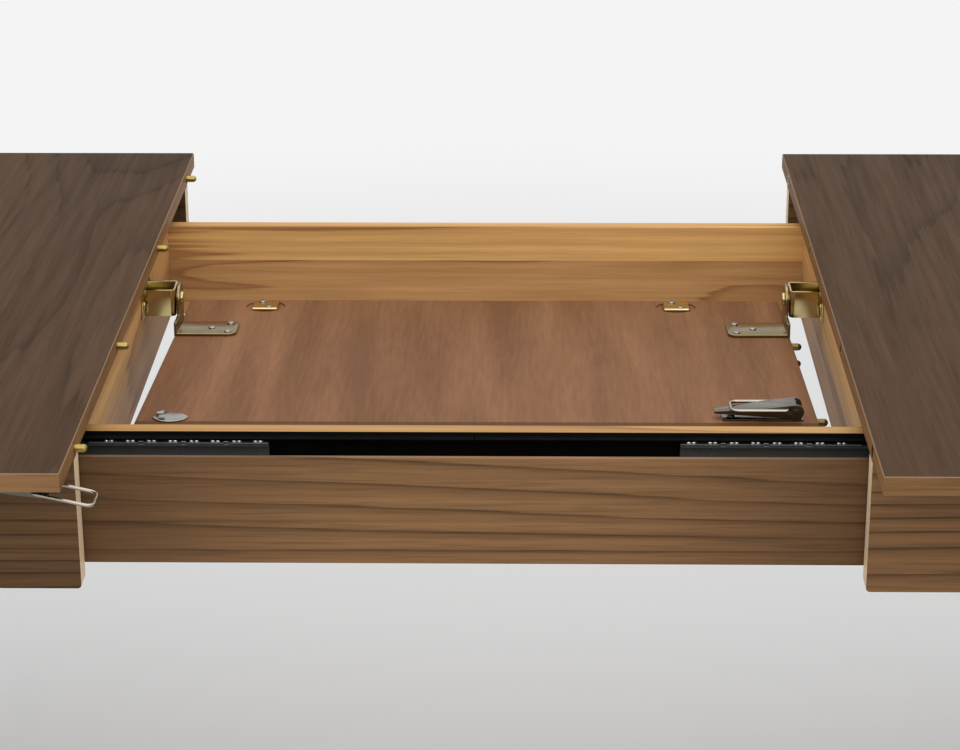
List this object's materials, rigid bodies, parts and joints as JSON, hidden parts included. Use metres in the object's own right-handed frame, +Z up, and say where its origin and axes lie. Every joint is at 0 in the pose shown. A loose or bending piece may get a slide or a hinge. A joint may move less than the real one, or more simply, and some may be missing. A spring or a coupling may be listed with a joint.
{
  "type": "draw leaf table",
  "caption": "Split-top wooden dining table pulled open on ball-bearing slides, with a hinged two-piece folding leaf stored in its middle frame",
  "frame": {"origin": "on the floor under the middle of the opened table", "axes": "+X along the table to the right, +Y to the back, +Z up"},
  "size_m": [2.25, 0.9, 0.75],
  "materials": {
    "walnut_veneer": "satin",
    "walnut_apron": "satin",
    "light_wood": "satin",
    "leaf_underside": "satin",
    "brass_plate": "polished",
    "black_steel": "satin",
    "grey_steel": "satin",
    "bright_wire": "polished",
    "dark_nickel": "satin",
    "glide_plastic": "matte"
  },
  "bodies": {
    "center_frame": {"front_frame_rail": "light_wood", "back_frame_rail": "light_wood", "left_cross_rail": "light_wood", "right_cross_rail": "light_wood", "front_fascia": "walnut_apron", "back_fascia": "walnut_apron", "fascia_spacers": "light_wood", "slide_channels": "black_steel", "pivot_brackets": "brass_plate", "pivot_fixings": "brass_plate"},
    "left_half": {"left_top": "walnut_veneer", "left_front_apron": "walnut_apron", "left_back_apron": "walnut_apron", "left_end_apron": "walnut_apron", "left_front_leg": "walnut_apron", "left_back_leg": "walnut_apron", "left_corner_braces": "light_wood", "left_floor_glides": "glide_plastic", "left_runners": "light_wood", "left_slide_bars": "grey_steel", "left_locating_pins": "brass_plate", "left_latch_bases": "dark_nickel"},
    "right_half": {"right_top": "walnut_veneer", "right_front_apron": "walnut_apron", "right_back_apron": "walnut_apron", "right_end_apron": "walnut_apron", "right_front_leg": "walnut_apron", "right_back_leg": "walnut_apron", "right_corner_braces": "light_wood", "right_floor_glides": "glide_plastic", "right_runners": "light_wood", "right_slide_bars": "grey_steel", "right_pin_bushes": "brass_plate", "right_strikes": "bright_wire"},
    "left_middles": {"left_slide_middles": "grey_steel"},
    "right_middles": {"right_slide_middles": "grey_steel"},
    "left_cages": {"left_ball_cages": "grey_steel"},
    "right_cages": {"right_ball_cages": "grey_steel"},
    "leaf_a": {"leaf_panel_a": "leaf_underside", "leaf_pivot_arms": "brass_plate", "leaf_a_hinge_cups": "brass_plate", "leaf_a_pins_and_bushes": "brass_plate", "leaf_a_screws": "bright_wire", "leaf_a_strike": "bright_wire", "leaf_a_latch_base": "dark_nickel"},
    "fold_link_pair": {"fold_links": "grey_steel"},
    "leaf_b": {"leaf_panel_b": "leaf_underside", "leaf_b_hinge_cups": "brass_plate", "leaf_b_pins_and_bushes": "brass_plate", "leaf_b_screws": "bright_wire", "leaf_b_strike": "bright_wire", "leaf_b_latch_base": "dark_nickel"},
    "left_front_latch_lever": {"left_front_latch_lever": "dark_nickel"},
    "left_front_latch_bail": {"left_front_latch_bail": "bright_wire"},
    "left_back_latch_lever": {"left_back_latch_lever": "dark_nickel"},
    "left_back_latch_bail": {"left_back_latch_bail": "bright_wire"},
    "leaf_a_latch_lever": {"leaf_a_latch_lever": "dark_nickel"},
    "leaf_a_latch_bail": {"leaf_a_latch_bail": "bright_wire"},
    "leaf_b_latch_lever": {"leaf_b_latch_lever": "dark_nickel"},
    "leaf_b_latch_bail": {"leaf_b_latch_bail": "bright_wire"}
  },
  "joints": [
    {"name": "left_slide", "type": "slide", "parent": "center_frame", "child": "left_half", "axis": [1, 0, 0], "range_m": [0, 0.32475]},
    {"name": "right_slide", "type": "slide", "parent": "center_frame", "child": "right_half", "axis": [-1, 0, 0], "range_m": [0, 0.32475]},
    {"name": "left_middle_slide", "type": "slide", "parent": "center_frame", "child": "left_middles", "axis": [1, 0, 0], "range_m": [0, 0.16237]},
    {"name": "right_middle_slide", "type": "slide", "parent": "center_frame", "child": "right_middles", "axis": [-1, 0, 0], "range_m": [0, 0.16237]},
    {"name": "left_cage_slide", "type": "slide", "parent": "center_frame", "child": "left_cages", "axis": [1, 0, 0], "range_m": [0, 0.08119]},
    {"name": "right_cage_slide", "type": "slide", "parent": "center_frame", "child": "right_cages", "axis": [-1, 0, 0], "range_m": [0, 0.08119]},
    {"name": "leaf_flip", "type": "hinge", "parent": "center_frame", "child": "leaf_a", "pos_m": [0, 0.095, 0.7055], "axis": [1, 0, 0], "range_deg": [-175.8, 0]},
    {"name": "fold_link_turn", "type": "hinge", "parent": "leaf_a", "child": "fold_link_pair", "pos_m": [0, 0.18646, 0.65386], "axis": [-1, 0, 0], "range_deg": [-30, 0]},
    {"name": "leaf_unfold", "type": "hinge", "parent": "fold_link_pair", "child": "leaf_b", "pos_m": [0, 0.18646, 0.65386], "axis": [-1, 0, 0], "range_deg": [-150, 0]},
    {"name": "left_front_latch_lever_turn", "type": "hinge", "parent": "left_half", "child": "left_front_latch_lever", "pos_m": [-0.345, -0.413, 0.7245], "axis": [0, 1, 0], "range_deg": [-100, 0]},
    {"name": "left_front_latch_bail_turn", "type": "hinge", "parent": "left_front_latch_lever", "child": "left_front_latch_bail", "pos_m": [-0.352, -0.413, 0.7225], "axis": [0, 1, 0], "range_deg": [0, 100]},
    {"name": "left_back_latch_lever_turn", "type": "hinge", "parent": "left_half", "child": "left_back_latch_lever", "pos_m": [-0.345, 0.401, 0.7245], "axis": [0, 1, 0], "range_deg": [-100, 0]},
    {"name": "left_back_latch_bail_turn", "type": "hinge", "parent": "left_back_latch_lever", "child": "left_back_latch_bail", "pos_m": [-0.352, 0.401, 0.7225], "axis": [0, 1, 0], "range_deg": [0, 100]},
    {"name": "leaf_a_latch_lever_turn", "type": "hinge", "parent": "leaf_a", "child": "leaf_a_latch_lever", "pos_m": [0.28, -0.2016, 0.70823], "axis": [0, -0.9973, 0.0732], "range_deg": [-100, 0]},
    {"name": "leaf_a_latch_bail_turn", "type": "hinge", "parent": "leaf_a_latch_lever", "child": "leaf_a_latch_bail", "pos_m": [0.273, -0.20145, 0.71022], "axis": [0, 0.9973, -0.0732], "range_deg": [0, 165]},
    {"name": "leaf_b_latch_lever_turn", "type": "hinge", "parent": "leaf_b", "child": "leaf_b_latch_lever", "pos_m": [0.28, -0.22732, 0.65838], "axis": [0, 0.9973, -0.0732], "range_deg": [-100, 0]},
    {"name": "leaf_b_latch_bail_turn", "type": "hinge", "parent": "leaf_b_latch_lever", "child": "leaf_b_latch_bail", "pos_m": [0.273, -0.22746, 0.65638], "axis": [0, -0.9973, 0.0732], "range_deg": [0, 165]}
  ],
  "couplings": [
    {"joint": "left_middle_slide", "follows": "left_slide", "ratio": 0.5},
    {"joint": "right_middle_slide", "follows": "right_slide", "ratio": 0.5},
    {"joint": "left_cage_slide", "follows": "left_slide", "ratio": 0.25},
    {"joint": "right_cage_slide", "follows": "right_slide", "ratio": 0.25},
    {"joint": "left_front_latch_bail_turn", "follows": "left_front_latch_lever_turn", "ratio": -1},
    {"joint": "left_back_latch_bail_turn", "follows": "left_back_latch_lever_turn", "ratio": -1}
  ]
}
